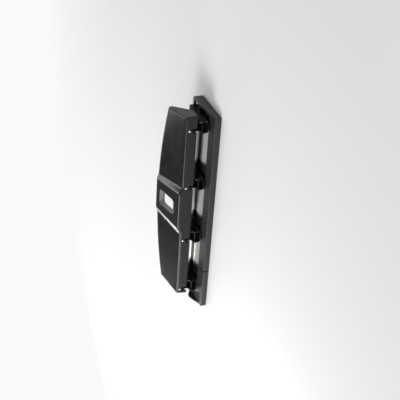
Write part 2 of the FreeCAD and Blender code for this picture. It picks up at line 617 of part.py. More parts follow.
def make_clip(x):
    bottom = CLIP_TOP - CLIP_THICKNESS
    ring = upright(CLIP_RADIUS, x, PIN_FROM_FRONT, bottom, CLIP_TOP)
    ring = ring.cut(upright(HOLE_RADIUS - CLIP_GROOVE, x, PIN_FROM_FRONT, bottom - 1, CLIP_TOP + 1))
    half = CLIP_MOUTH / 2
    mouth = block(x, x + CLIP_RADIUS + 1, PIN_FROM_FRONT - half, PIN_FROM_FRONT + half,
                  bottom - 1, CLIP_TOP + 1)
    return ring.cut(mouth)


def coil_height(turn, low, high):
    """Height of the wire's centre after a number of turns: close end turns, open middle."""
    middle = (high - low - 2 * SPRING_END_PITCH) / SPRING_ACTIVE_TURNS
    if turn <= 1:
        return low + turn * SPRING_END_PITCH
    if turn <= 1 + SPRING_ACTIVE_TURNS:
        return low + SPRING_END_PITCH + (turn - 1) * middle
    return high - (SPRING_ACTIVE_TURNS + 2 - turn) * SPRING_END_PITCH


def coil_point(turn, x, low, high):
    angle = 2 * math.pi * turn
    return V(x + SPRING_RADIUS * math.cos(angle), at(PIN_FROM_FRONT) + SPRING_RADIUS * math.sin(angle),
             coil_height(turn, low, high))


def arc_from(start, tangent, end):
    """Arc that leaves start along tangent and reaches end."""
    chord = end - start
    along = V(chord).normalize()
    side = tangent - along * tangent.dot(along)
    angle = math.acos(max(-1.0, min(1.0, tangent.dot(along))))
    middle = start + chord * 0.5 + side.normalize() * (chord.Length / 2 * math.tan(angle / 2))
    return Part.Arc(start, middle, end).toShape()


def biarc(p0, t0, p1, t1):
    """Two arcs that share a tangent, between two points with given directions."""
    span = p1 - p0
    total = t0 + t1
    spread = 2 * (1 - t0.dot(t1))
    reach = span.dot(total)
    d = (-reach + math.sqrt(reach * reach + spread * span.dot(span))) / spread
    joint = (p0 + p1 + (t0 - t1) * d) * 0.5
    last = arc_from(p1, t1 * -1, joint)
    return [arc_from(p0, t0, joint), last]


def spring_ends():
    low = BRIDGE_TOP + SPRING_WIRE / 2 + SPRING_SEAT_GAP
    high = PIN_HEAD_BOTTOM - SPRING_WIRE / 2 - SPRING_SEAT_GAP
    return low, high


def make_spring(x):
    low, high = spring_ends()
    turns = SPRING_ACTIVE_TURNS + 2
    count = 4 * turns
    small = 1e-4
    points = [coil_point(i / 4, x, low, high) for i in range(count + 1)]
    tangents = []
    for i in range(count + 1):
        before = coil_point(max(0, i / 4 - small), x, low, high)
        after = coil_point(min(turns, i / 4 + small), x, low, high)
        tangents.append((after - before).normalize())
    flat_start = V(0, 1, 0)
    tangents[0] = flat_start
    tangents[-1] = flat_start
    lead = Part.makeLine(points[0] - flat_start * SPRING_WIRE, points[0])
    tail = Part.makeLine(points[-1], points[-1] + flat_start * SPRING_WIRE)
    edges = [lead]
    for i in range(count):
        edges += biarc(points[i], tangents[i], points[i + 1], tangents[i + 1])
    path = Part.Wire(edges + [tail])
    ring = Part.makeCircle(SPRING_WIRE / 2, points[0] - flat_start * SPRING_WIRE, flat_start)
    shell = Part.BRepOffsetAPI.MakePipeShell(path)
    shell.add(Part.Wire([ring]))
    shell.build()
    shell.makeSolid()
    return shell.shape()


def report_spring_gap():
    """Least gap of a spring to itself, measured on points along the wire's centre."""
    low, high = spring_ends()
    turns = SPRING_ACTIVE_TURNS + 2
    steps = 48
    points = [coil_point(i / steps, 0, low, high) for i in range(steps * turns + 1)]
    least = min((points[i] - points[j]).Length for i in range(len(points))
                for j in range(i + steps // 2, len(points)))
    print("spring turns %d, least gap to itself %.2f, length at rest %.2f, at full travel %.2f"
          % (turns, least - SPRING_WIRE, high - low + SPRING_WIRE, high - low + SPRING_WIRE - PIN_STROKE))


# Lever arms inside the handle

ARM_RISER = PIN_FROM_FRONT + ARM_REAR


def arm_outline():
    """Plate from the pivot eye, through the tab in the handle's notch, to the web over the pin."""
    front = FACE_FROM_FRONT + TAB_SET_BACK
    body_front = PIN_FROM_FRONT - HOLE_RADIUS
    lean = EYE_RADIUS / math.sqrt(2)
    tab_top = STUD_HEIGHT - FLANGE_BELOW
    return [(PIVOT_FROM_FRONT - lean, PIVOT_HEIGHT + lean), (front, FACE_BOTTOM - WALL), (front, tab_top),
            (body_front, tab_top), (body_front, web_height(body_front) + WEB_RISE / 2),
            (ARM_RISER, web_height(ARM_RISER) + WEB_RISE / 2), (ARM_RISER, web_height(ARM_RISER) - ARM_CHEEK),
            (PIVOT_FROM_FRONT + lean, PIVOT_HEIGHT - lean)]


def make_arm(x, room):
    """Bent plate: arm with its eye, web over the pin's head, riser and lip under the roof.

    room is the space inside the handle's sheet, which trims web and lip to lie against it."""
    left = x - ARM_CENTRE - ARM_THICKNESS / 2
    front = FACE_FROM_FRONT + SHEET
    lip_rear = ARM_RISER + ARM_LIP
    slope, lowered = roof_line(x, SHEET + ARM_THICKNESS)
    above = lowered + 2 * ARM_THICKNESS

    def roof(d, base):
        return base + slope * (d - FACE_FROM_FRONT)

    plate = side_prism(arm_outline(), left, left + ARM_THICKNESS)
    eye = crosswise(EYE_RADIUS, left, left + ARM_THICKNESS, PIVOT_FROM_FRONT, PIVOT_HEIGHT)
    riser = ARM_RISER - ARM_THICKNESS
    bent = side_prism([(front, web_height(front)), (ARM_RISER, web_height(ARM_RISER)),
                       (ARM_RISER, roof(ARM_RISER, lowered)), (lip_rear, roof(lip_rear, lowered)),
                       (lip_rear, roof(lip_rear, above)), (riser, roof(riser, above)),
                       (riser, web_height(riser) + WEB_RISE), (front, web_height(front) + WEB_RISE)],
                      left, x + ARM_RIGHT)
    flange = block(x - ARM_CENTRE - FLANGE_WIDTH / 2, x - ARM_CENTRE + FLANGE_WIDTH / 2,
                   front, front + ARM_THICKNESS, STUD_HEIGHT - FLANGE_BELOW, web_height(front) + WEB_RISE)
    body = join([plate, eye, bent.fuse(flange).common(room)])
    hole = crosswise(PIVOT_RADIUS + PIVOT_CLEARANCE, left - 1, left + ARM_THICKNESS + 1,
                     PIVOT_FROM_FRONT, PIVOT_HEIGHT)
    return body.cut(hole).cut(stud_shank(x))


def stud_shank(x):
    """Rivet shank through the handle's face and the arm's flange."""
    start = V(x - ARM_CENTRE, at(FACE_FROM_FRONT), STUD_HEIGHT)
    return Part.makeCylinder(STUD_RADIUS, SHEET + ARM_THICKNESS, start, V(0, 1, 0))


def make_studs():
    """Bright round-headed rivets that hold the arms behind the handle's face."""
    ball = (STUD_HEAD_RADIUS ** 2 + STUD_HEAD_HEIGHT ** 2) / (2 * STUD_HEAD_HEIGHT)
    studs = []
    for x in HOLE_X:
        face = V(x - ARM_CENTRE, at(FACE_FROM_FRONT), STUD_HEIGHT)
        head = Part.makeCylinder(STUD_HEAD_RADIUS, STUD_HEAD_HEIGHT, face, V(0, -1, 0))
        dome = Part.makeSphere(ball, face + V(0, ball - STUD_HEAD_HEIGHT, 0))
        studs.append(join([stud_shank(x), head.common(dome)]))
    return Part.makeCompound(studs)


# Handle shell

def crest(x):
    """Distance from the front and height of the crest, bowed along the handle."""
    share = ((x - PATTERN_X) / CREST_HALF) ** 2
    d = CREST_MID_FROM_FRONT - (CREST_MID_FROM_FRONT - CREST_END_FROM_FRONT) * share
    z = CREST_MID_HEIGHT - (CREST_MID_HEIGHT - CREST_END_HEIGHT) * share
    return d, z


def roof_line(x, inset):
    """Slope of the wing's roof at x, and its height over the face's plane, drawn in by inset."""
    d_crest, z_crest = crest(x)
    slope = (z_crest - RIDGE_HEIGHT) / (d_crest - FACE_FROM_FRONT)
    return slope, RIDGE_HEIGHT - inset * math.hypot(1, slope)


def handle_section(x_front, x_rear, inset, rise_front=0.0, rise_rear=0.0):
    """Closed side outline of the handle in an upright plane from (x_front) to (x_rear).

    inset draws the outline in by the sheet's thickness. The rises lift ridge and crest."""
    low = FOOT_HEIGHT + PLATE_BOTTOM
    d_crest, z_crest = crest((x_front + x_rear) / 2)
    slope = (z_crest + rise_rear - RIDGE_HEIGHT - rise_front) / (d_crest - FACE_FROM_FRONT)
    tilt = math.atan(slope)
    d_face = FACE_FROM_FRONT + inset
    d_back = d_crest + CREST_ROLL - inset
    drop = inset / math.cos(tilt)

    def roof(d):
        return RIDGE_HEIGHT + rise_front + slope * (d - FACE_FROM_FRONT) - drop

    def place(d, z):
        share = (d - FACE_FROM_FRONT) / (d_crest + CREST_ROLL - FACE_FROM_FRONT)
        return V(x_front + (x_rear - x_front) * share, at(d), z)

    def corner(d, radius, sign, opening):
        """Round the corner of an upright line at d with the roof: sign is +1 towards the rear."""
        tangent = radius / math.tan(opening / 2)
        z = roof(d)
        on_wall = (d, z - tangent)
        on_roof = (d + sign * tangent * math.cos(tilt), z + sign * tangent * math.sin(tilt))
        centre = (d + sign * radius, z - tangent)
        away = (d - centre[0], z - centre[1])
        length = math.hypot(away[0], away[1])
        middle = (centre[0] + away[0] / length * radius, centre[1] + away[1] / length * radius)
        return on_wall, middle, on_roof

    ridge = corner(d_face, max(RIDGE_RADIUS - inset, TIGHT_ROUND), 1, math.pi / 2 + tilt)
    palm = corner(d_back, max(PALM_RADIUS - inset, TIGHT_ROUND), -1, math.pi / 2 - tilt)
    edges = [Part.makeLine(place(d_face, low), place(*ridge[0])),
             Part.Arc(place(*ridge[0]), place(*ridge[1]), place(*ridge[2])).toShape(),
             Part.makeLine(place(*ridge[2]), place(*palm[2])),
             Part.Arc(place(*palm[2]), place(*palm[1]), place(*palm[0])).toShape(),
             Part.makeLine(place(*palm[0]), place(d_back, low)),
             Part.makeLine(place(d_back, low), place(d_face, low))]
    return Part.Wire(edges)


def wing_body(inset):
    """Both wings as one smooth body that runs past the end cheeks."""
    reach = RIDGE_HALF + WING_OVERRUN
    stations = [PATTERN_X + reach * share for share in (-1, -0.67, -0.33, 0, 0.33, 0.67, 1)]
    return Part.makeLoft([handle_section(x, x, inset) for x in stations], True, False)


def band_body(inset):
    """Raised band: flat top, S-shaped steps on both sides, narrower towards the crest."""
    sections = []
    for side in (-1, 1):
        steps = range(BAND_STEPS + 1)
        for i in (steps if side < 0 else reversed(steps)):
            share = i / BAND_STEPS
            lift = share * share * (3 - 2 * share)
            drawn_in = inset * BAND_SIDE_SHARE
            front = BAND_FOOT_FRONT + (BAND_FLAT_FRONT - BAND_FOOT_FRONT) * share - drawn_in
            rear = BAND_FOOT_REAR + (BAND_FLAT_REAR - BAND_FOOT_REAR) * share - drawn_in
            rises = (BAND_RISE_FRONT * lift - BAND_SUNK, BAND_RISE_REAR * lift - BAND_SUNK)
            sections.append(handle_section(PATTERN_X + side * front, PATTERN_X + side * rear, inset, *rises))
    return Part.makeLoft(sections, True, True)


def cheek_block(inset):
    """Everything between the two leaning end cheeks, as a tapered block."""
    low = FOOT_HEIGHT
    high = CREST_MID_HEIGHT + BEYOND
    run = CREST_END_FROM_FRONT - FACE_FROM_FRONT
    climb = CREST_END_HEIGHT - RIDGE_HEIGHT

    def half(d, z):
        share = (d - FACE_FROM_FRONT) / run
        fold = RIDGE_HALF + (CREST_HALF - RIDGE_HALF) * share
        return fold + CHEEK_FLARE * (RIDGE_HEIGHT + climb * share - z) - inset

    def ring(d):
        wide = half(d, low)
        narrow = half(d, high)
        corners = ((-wide, low), (wide, low), (narrow, high), (-narrow, high), (-wide, low))
        return Part.makePolygon([V(PATTERN_X + x, at(d), z) for x, z in corners])

    return Part.makeLoft([ring(FACE_FROM_FRONT - BEYOND), ring(HANDLE_REAR + BEYOND)], True, True)


def handle_body(inset):
    return wing_body(inset).fuse(band_body(inset)).common(cheek_block(inset))


def rounded_cheeks(body):
    """Handle's outside with soft folds round its two end cheeks."""
    edges = []
    for face in body.Faces:
        u0, u1, v0, v1 = face.ParameterRange
        if abs(face.normalAt((u0 + u1) / 2, (v0 + v1) / 2).x) > 0.95:
            lowest = min(e.CenterOfMass.z for e in face.Edges)
            edges += [e for e in face.Edges if e.CenterOfMass.z > lowest]
    return body.makeFillet(CHEEK_FOLD_RADIUS, edges)


def window_tool(grow, z0, z1):
    """Upright rounded block through the band, as large as the window plus grow."""
    x = PATTERN_X
    half = WINDOW_WIDTH / 2 + grow
    tool = block(x - half, x + half, WINDOW_FRONT - grow, WINDOW_REAR + grow, z0, z1)
    return tool.makeFillet(WINDOW_RADIUS + grow, [e for e in tool.Edges if is_upright(e)])


def below_handle():
    """Room under the lower edges of face, cheeks and palm lip."""
    rear = CREST_END_FROM_FRONT + CHEEK_REAR_BEHIND
    return side_prism([(-BEYOND, 0), (-BEYOND, FACE_BOTTOM), (CHEEK_FLAT_END, FACE_BOTTOM),
                       (rear, CHEEK_REAR_HEIGHT), (HANDLE_REAR, PALM_LIP_HEIGHT),
                       (HANDLE_REAR + BEYOND, PALM_LIP_HEIGHT), (HANDLE_REAR + BEYOND, 0)],
                      LEFT_X - BEYOND, RIGHT_X + BEYOND)


def notch_tool(x):
    """Round-topped slot in the handle's face for a lever arm."""
    half = NOTCH_WIDTH / 2
    reach = RIDGE_RADIUS + SHEET
    front = FACE_FROM_FRONT - reach
    slot = block(x - half, x + half, front, front + 2 * reach, FACE_BOTTOM - half, NOTCH_TOP - half)
    top = Part.makeCylinder(half, 2 * reach, V(x, at(front), NOTCH_TOP - half), V(0, 1, 0))
    return slot.fuse(top)


def make_shell(room):
    shell = rounded_cheeks(handle_body(0)).cut(room).cut(below_handle())
    for x in HOLE_X:
        shell = shell.cut(notch_tool(x - ARM_CENTRE)).cut(stud_shank(x))
    return shell.cut(window_tool(BEZEL_WALL, 0, CREST_MID_HEIGHT + BEYOND))


def make_bezel():
    """Deep light frame that lines the window."""
    high = CREST_MID_HEIGHT + BEYOND
    ring = window_tool(BEZEL_WALL, 0, high).cut(window_tool(0, 0, high))
    top = handle_section(PATTERN_X, PATTERN_X, -BEZEL_PROUD, BAND_RISE_FRONT, BAND_RISE_REAR)
    bottom = handle_section(PATTERN_X, PATTERN_X, BEZEL_DEPTH, BAND_RISE_FRONT, BAND_RISE_REAR)
    wide = WINDOW_WIDTH + 4 * BEZEL_WALL

    def slab(wire):
        face = Part.Face(wire)
        face.translate(V(-wide / 2, 0, 0))
        return face.extrude(V(wide, 0, 0))

    return ring.common(slab(top)).cut(slab(bottom))


# Fasteners and feet

def make_screws():
    screws = []
    for x in screw_places():
        d = PLATE_REAR - SCREW_BEHIND
        shank = upright(SCREW_RADIUS, x, d, PLATE_TOP - SCREW_LENGTH + SCREW_ROOM, PLATE_TOP)
        head = upright(SCREW_HEAD_RADIUS, x, d, PLATE_TOP, PLATE_TOP + SCREW_HEAD_HEIGHT)
        top = PLATE_TOP + SCREW_HEAD_HEIGHT
        rim = [e for e in head.Edges if e.Closed and abs(e.CenterOfMass.z - top) < NEAR]
        head = head.makeFillet(SCREW_HEAD_ROUND, rim)
        arm = SLOT_LENGTH / 2
        for along, across in ((arm, SLOT_WIDTH / 2), (SLOT_WIDTH / 2, arm)):
            head = head.cut(block(x - along, x + along, d - across, d + across, top - SLOT_DEPTH, top + 1))
        screws.append(join([shank, head]))
    return Part.makeCompound(screws)


def make_feet():
    return Part.makeCompound([block(x, x + FOOT_LENGTH, d, d + FOOT_WIDTH, 0, FOOT_HEIGHT + FOOT_SINK)
                              for x, d in foot_places()])


def main():
    os.makedirs("parts", exist_ok=True)
    room = handle_body(SHEET)
    save("base_housing", make_housing())
    for side, (left, right) in zip(("left", "right"), chip_wells()):
        save("chip_tray_" + side, make_tray(left, right))
    save("paper_guide", make_guide())
    save("base_plate", make_plate())
    save("paper_stop", make_stop())
    for number, x in enumerate(HOLE_X, 1):
        save("head_bracket_%d" % number, make_bracket(x))
        save("punch_pin_%d" % number, make_pin(x))
        save("pin_clip_%d" % number, make_clip(x))
        save("pin_spring_%d" % number, make_spring(x))
        save("lever_arm_%d" % number, make_arm(x, room))
    save("pivot_pins", make_pivot_pins())
    save("bracket_rivets", make_rivets())
    save("plate_screws", make_screws())
    save("rubber_feet", make_feet())
    save("arm_rivets", make_studs())
    save("handle_shell", make_shell(room))
    save("window_bezel", make_bezel())
    report_spring_gap()
    print("pin stroke %.3f, tip at rest %.2f, tip at full travel %.2f, plate underside %.2f"
          % (PIN_STROKE, TIP_HEIGHT, TIP_HEIGHT - PIN_STROKE, PLATE_BOTTOM))


main()
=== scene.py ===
import math

import bpy
from bpy.props import FloatProperty, FloatVectorProperty, PointerProperty
from mathutils import Matrix, Vector


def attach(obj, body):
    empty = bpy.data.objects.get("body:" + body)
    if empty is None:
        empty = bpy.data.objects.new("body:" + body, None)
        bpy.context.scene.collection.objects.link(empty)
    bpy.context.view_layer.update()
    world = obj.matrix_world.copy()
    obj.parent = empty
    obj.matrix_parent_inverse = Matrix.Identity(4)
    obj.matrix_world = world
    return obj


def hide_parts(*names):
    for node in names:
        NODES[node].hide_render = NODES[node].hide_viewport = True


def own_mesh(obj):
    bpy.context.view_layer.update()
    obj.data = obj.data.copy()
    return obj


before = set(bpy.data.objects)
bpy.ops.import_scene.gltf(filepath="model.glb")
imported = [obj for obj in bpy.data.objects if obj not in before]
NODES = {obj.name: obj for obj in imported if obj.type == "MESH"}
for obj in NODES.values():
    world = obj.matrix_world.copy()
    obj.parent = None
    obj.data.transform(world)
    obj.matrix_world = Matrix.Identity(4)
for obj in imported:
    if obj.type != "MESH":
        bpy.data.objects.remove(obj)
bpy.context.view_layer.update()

bl_info = {
    "name": "Four-hole punch",
    "version": (1, 0, 0),
    "blender": (4, 5, 0),
    "location": "View3D > Sidebar > Punch",
    "description": "Finishes and studio for a four-hole desk punch",
    "category": "Object",
}

HEADS = (1, 2, 3, 4)

CLOUD = (0.3, 0.7)            # share of a noise's range that its clouds use

# Roughness of each finish: lowest and highest, as a noise clouds it
ROUGHNESS = {
    "handle": (0.18, 0.25),
    "heads": (0.24, 0.34),
    "plastic": (0.40, 0.50),
    "frame": (0.38, 0.48),
    "nickel": (0.14, 0.19),
    "stop": (0.12, 0.20),
    "ground": (0.10, 0.20),
    "wire": (0.20, 0.32),
    "blued": (0.25, 0.35),
    "zinc": (0.22, 0.34),
    "rubber": (0.70, 0.85),
}

# Depth in metres of each kind of surface texture
PEEL_DEPTH = 0.00002          # orange peel in lacquer
SPARK_DEPTH = 0.00003         # spark texture on moulded plastic
FRAME_DEPTH = 0.00002         # the same on the window's frame
BRUSH_DEPTH = 0.000002        # brush lines under nickel
GRIND_DEPTH = 0.000004        # grinding marks on steel
RUBBER_DEPTH = 0.00005

GRAIN_PITCH = 0.00025         # spacing of grinding marks
ALONG_X = (0.05, 1.0, 1.0)    # noise drawn out along the punch
ALONG_Z = (1.0, 1.0, 0.1)     # noise drawn out along the pins
GROOVE_BLUR = 0.00005         # half the height over which the painted shade in the groove fades out
RIM_TURN = (0.68, 0.72)       # upward share of the normal at which the window's rim starts

# Sockets of the Mix node in its colour mode, where names repeat
MIX_A, MIX_B, MIX_RESULT = 6, 7, 2


def colour(name, about, default):
    return FloatVectorProperty(name=name, description=about, default=default, size=3, min=0.0, max=1.0,
                               subtype="COLOR")


def length(name, about, default):
    return FloatProperty(name=name, description=about, default=default, min=0.0, unit="LENGTH",
                         subtype="DISTANCE", precision=5)


def share(name, about, default):
    return FloatProperty(name=name, description=about, default=default, min=0.0, max=1.0, subtype="FACTOR")


class PunchColours(bpy.types.PropertyGroup):
    handle: colour("Handle", "Satin black lacquer of the handle", (0.011, 0.0113, 0.0125))
    heads: colour("Heads", "Gloss black lacquer of the punch heads", (0.003, 0.003, 0.0033))
    base: colour("Base", "Moulded plastic of base and guide", (0.020, 0.0204, 0.022))
    tray: colour("Trays", "Moulded plastic of the chip trays", (0.03, 0.031, 0.033))
    plate: colour("Plate", "Nickel on the base plate", (0.28, 0.269, 0.257))
    stop: colour("Stop", "Bright plating of the paper stop", (0.40, 0.40, 0.40))
    steel: colour("Steel", "Ground steel of pins and rivets", (0.68, 0.68, 0.69))
    # Painted shade: the near-black colour laid into the stop's groove
    groove: colour("Stop groove", "Dark paint in the groove below the stop's lip", (0.004, 0.004, 0.004))
    bezel: colour("Window frame", "Light plastic inside the window's frame", (0.30, 0.30, 0.31))
    rim: colour("Window rim", "Black rim on top of the window's frame", (0.010, 0.010, 0.011))
    rubber: colour("Feet", "Rubber of the feet", (0.02, 0.02, 0.02))
    blued: colour("Clips", "Blued steel of the retaining clips", (0.05, 0.055, 0.075))


class PunchSizes(bpy.types.PropertyGroup):
    edge_round: length("Edge round", "Round that pressed and moulded edges show", 0.00035)
    lacquer_grain: length("Lacquer grain", "Size of the orange peel in the lacquer", 0.0009)
    mould_grain: length("Mould grain", "Size of the spark texture on the plastic", 0.0004)
    brush_pitch: length("Brush pitch", "Spacing of the brush lines on the plate", 0.0002)
    stroke: length("Pin stroke", "How far the handle's full swing squeezes each return spring", 0.00388)
    groove_top: length("Groove top", "Height of the upper edge of the stop's groove over the desk", 0.0118)
    floor_near: length("Floor near", "Distance at which the floor starts to fade into the pale room", 0.45)
    floor_far: length("Floor far", "Distance at which the floor has faded out", 1.0)
    floor_white: share("Floor white", "How pale the floor is", 0.86)


# Node helpers

class Shader:
    """A material's node tree with short calls for the nodes that the finishes share."""

    def __init__(self, name):
        self.material = bpy.data.materials.new(name)
        self.material.use_nodes = True
        self.tree = self.material.node_tree
        self.bsdf = self.tree.nodes["Principled BSDF"]
        self.place = self.node("ShaderNodeTexCoord").outputs["Object"]

    def node(self, kind, **settings):
        made = self.tree.nodes.new(kind)
        for key, value in settings.items():
            setattr(made, key, value)
        return made

    def link(self, source, target):
        self.tree.links.new(source, target)

    def stretch(self, scale):
        mapping = self.node("ShaderNodeMapping")
        mapping.inputs["Scale"].default_value = scale
        self.link(self.place, mapping.inputs["Vector"])
        return mapping.outputs["Vector"]

    def noise(self, size, detail, scale=(1, 1, 1)):
        made = self.node("ShaderNodeTexNoise")
        made.inputs["Scale"].default_value = 1.0 / size
        made.inputs["Detail"].default_value = detail
        self.link(self.stretch(scale), made.inputs["Vector"])
        return made.outputs["Fac"]

    def ramp(self, source, low, high, start=0.0, end=1.0):
        """A value that goes from start to end as source goes from low to high."""
        made = self.node("ShaderNodeMapRange")
        for key, value in (("From Min", low), ("From Max", high), ("To Min", start), ("To Max", end)):
            made.inputs[key].default_value = value
        self.link(source, made.inputs["Value"])
        return made.outputs["Result"]

    def cloudy(self, size, detail, finish, scale=(1, 1, 1)):
        """Roughness that a noise moves between the finish's two values."""
        return self.ramp(self.noise(size, detail, scale), *CLOUD, *ROUGHNESS[finish])

    def mix(self, factor, first, second):
        """A colour between first and second."""
        made = self.node("ShaderNodeMix", data_type="RGBA")
        made.inputs[MIX_A].default_value = (*first, 1.0)
        made.inputs[MIX_B].default_value = (*second, 1.0)
        self.link(factor, made.inputs["Factor"])
        return made.outputs[MIX_RESULT]

    def layer(self, factor, under, over):
        """A colour laid over a linked colour where factor is high."""
        made = self.node("ShaderNodeMix", data_type="RGBA")
        self.link(under, made.inputs[MIX_A])
        made.inputs[MIX_B].default_value = (*over, 1.0)
        self.link(factor, made.inputs["Factor"])
        return made.outputs[MIX_RESULT]

    def rounded(self, radius):
        made = self.node("ShaderNodeBevel", samples=6)
        made.inputs["Radius"].default_value = radius
        return made.outputs["Normal"]

    def bump(self, height, depth, strength, normal):
        made = self.node("ShaderNodeBump")
        made.inputs["Distance"].default_value = depth
        made.inputs["Strength"].default_value = strength
        self.link(height, made.inputs["Height"])
        self.link(normal, made.inputs["Normal"])
        return made.outputs["Normal"]

    def edges(self, normal, low=0.90, high=0.999):
        """High along rounded edges, where the rounded normal leaves the flat one."""
        flat = self.node("ShaderNodeNewGeometry").outputs["Normal"]
        dot = self.node("ShaderNodeVectorMath", operation="DOT_PRODUCT")
        self.link(normal, dot.inputs[0])
        self.link(flat, dot.inputs[1])
        return self.ramp(dot.outputs["Value"], low, high, 1.0, 0.0)

    def fixed(self, **values):
        for key, value in values.items():
            self.bsdf.inputs[key.replace("_", " ")].default_value = value

    def finish(self, base=None, roughness=None, normal=None):
        for key, source in (("Base Color", base), ("Roughness", roughness), ("Normal", normal)):
            if source is not None:
                self.link(source, self.bsdf.inputs[key])
        return self.material


def lighter(rgb, factor):
    return tuple(min(1.0, c * factor) for c in rgb)


def dress(material, *names):
    for name in names:
        data = NODES[name].data
        data.materials.clear()
        data.materials.append(material)


def numbered(stem):
    return ["%s_%d" % (stem, i) for i in HEADS]


# Finishes

def handle_lacquer(colours, sizes):
    """Satin black lacquer: soft orange peel, cloudy gloss and a painted highlight along the rounded folds."""
    s = Shader("handle_lacquer")
    cloud = s.noise(0.05, 3.0)
    base = s.mix(s.ramp(cloud, *CLOUD), lighter(colours.handle, 0.88), lighter(colours.handle, 1.12))
    normal = s.rounded(sizes.edge_round)
    painted_edge_highlight = s.edges(normal)
    # Painted highlight: the lacquer's colour is lightened along rounded edges and folds.
    base = s.layer(s.ramp(painted_edge_highlight, 0.0, 1.0, 0.0, 0.35), base, lighter(colours.handle, 2.6))
    peel = s.noise(sizes.lacquer_grain, 2.0)
    s.fixed(Specular_IOR_Level=0.32)
    return s.finish(base, s.cloudy(0.012, 4.0, "handle"), s.bump(peel, PEEL_DEPTH, 0.35, normal))


def head_lacquer(colours, sizes):
    """Gloss black lacquer of the pressed heads and arms, with a painted highlight along the rounded edges,
    broken into patches by a noise.
    """
    s = Shader("head_lacquer")
    normal = s.rounded(sizes.edge_round)
    painted_edge_highlight = s.edges(normal, 0.80, 0.99)
    highlight_patches = s.ramp(s.noise(0.0016, 3.0), 0.42, 0.62)
    both = s.node("ShaderNodeMath", operation="MULTIPLY")
    s.link(painted_edge_highlight, both.inputs[0])
    s.link(highlight_patches, both.inputs[1])
    cloud = s.mix(s.noise(0.02, 2.0), lighter(colours.heads, 0.8), lighter(colours.heads, 1.2))
    # Painted highlight: a steel-grey colour laid on the rounded edges where the noise patches allow.
    base = s.layer(both.outputs[0], cloud, lighter(colours.steel, 0.45))
    s.fixed(Specular_IOR_Level=0.10)
    peel = s.noise(sizes.lacquer_grain, 2.0)
    return s.finish(base, s.cloudy(0.006, 4.0, "heads"), s.bump(peel, PEEL_DEPTH, 0.3, normal))


def moulded_plastic(name, rgb, sizes):
    """Moulded plastic with a fine spark texture, flow clouds and a painted highlight along the rounded edges.
    """
    s = Shader(name)
    normal = s.rounded(sizes.edge_round)
    painted_edge_highlight = s.edges(normal)
    cloud = s.mix(s.ramp(s.noise(0.04, 3.0), *CLOUD), lighter(rgb, 0.9), lighter(rgb, 1.1))
    # Painted highlight: the plastic's colour is lightened along rounded edges.
    base = s.layer(s.ramp(painted_edge_highlight, 0.0, 1.0, 0.0, 0.3), cloud, lighter(rgb, 2.2))
    sparks = s.noise(sizes.mould_grain, 3.0)
    return s.finish(base, s.cloudy(0.01, 4.0, "plastic"), s.bump(sparks, SPARK_DEPTH, 0.4, normal))


def nickel(colours, sizes):
    """Bright nickel on brushed sheet: fine lines along the punch and faint stains."""
    s = Shader("nickel")
    lines = s.noise(sizes.brush_pitch, 3.0, (0.02, 1.0, 1.0))
    stain = s.ramp(s.noise(0.03, 4.0), 0.35, 0.7)
    base = s.mix(stain, lighter(colours.plate, 0.92), lighter(colours.plate, 1.05))
    s.fixed(Metallic=1.0)
    normal = s.rounded(sizes.edge_round / 2)
    return s.finish(base, s.cloudy(0.015, 4.0, "nickel"), s.bump(lines, BRUSH_DEPTH, 0.2, normal))


def bright_steel(name, rgb, sizes, finish, along=(1.0, 1.0, 1.0)):
    """Polished, drawn, blued or zinc plated steel with fine grinding marks."""
    s = Shader(name)
    base = s.mix(s.noise(0.004, 3.0), lighter(rgb, 0.9), lighter(rgb, 1.06))
    marks = s.noise(GRAIN_PITCH, 2.0, along)
    s.fixed(Metallic=1.0)
    normal = s.rounded(sizes.edge_round / 2)
    return s.finish(base, s.cloudy(0.002, 4.0, finish, along), s.bump(marks, GRIND_DEPTH, 0.4, normal))


def stop_plating(colours, sizes):
    """Bright plating above the groove, and painted shade in the groove that takes the paper's edge: a
    near-black non-metal colour below the groove's top.
    """
    s = Shader("stop_plating")
    axes = s.node("ShaderNodeSeparateXYZ")
    s.link(s.place, axes.inputs[0])
    # Mask of the painted shade: below the groove's top the stop turns dark and non-metal.
    bright = s.ramp(axes.outputs["Z"], sizes.groove_top - GROOVE_BLUR, sizes.groove_top + GROOVE_BLUR)
    plated = s.mix(s.noise(0.004, 3.0), lighter(colours.stop, 0.9), lighter(colours.stop, 1.06))
    s.link(bright, s.bsdf.inputs["Metallic"])
    marks = s.noise(GRAIN_PITCH, 2.0, ALONG_X)
    # Painted shade laid into the groove.
    base = s.layer(s.ramp(bright, 0.0, 1.0, 1.0, 0.0), plated, colours.groove)
    normal = s.rounded(sizes.edge_round / 2)
    return s.finish(base, s.cloudy(0.002, 4.0, "stop", ALONG_X), s.bump(marks, GRIND_DEPTH, 0.4, normal))


def frame_plastic(colours, sizes):
    """Light plastic with a black rim on the faces that look up."""
    s = Shader("frame_plastic")
    turned = s.node("ShaderNodeSeparateXYZ")
    s.link(s.node("ShaderNodeTexCoord").outputs["Normal"], turned.inputs[0])
    cloud = s.ramp(s.noise(0.02, 3.0), *CLOUD)
    pale = s.mix(cloud, lighter(colours.bezel, 0.94), lighter(colours.bezel, 1.05))
    base = s.layer(s.ramp(turned.outputs["Z"], *RIM_TURN), pale, colours.rim)
    sparks = s.noise(sizes.mould_grain, 3.0)
    normal = s.rounded(sizes.edge_round)
    return s.finish(base, s.cloudy(0.006, 3.0, "frame"), s.bump(sparks, FRAME_DEPTH, 0.3, normal))


def foot_rubber(colours, sizes):
    """Matt black rubber."""
    s = Shader("foot_rubber")
    base = s.mix(s.noise(0.002, 3.0), lighter(colours.rubber, 0.8), lighter(colours.rubber, 1.5))
    grain = s.noise(0.0005, 3.0)
    normal = s.rounded(sizes.edge_round)
    return s.finish(base, s.cloudy(0.001, 3.0, "rubber"), s.bump(grain, RUBBER_DEPTH, 0.5, normal))


# Springs

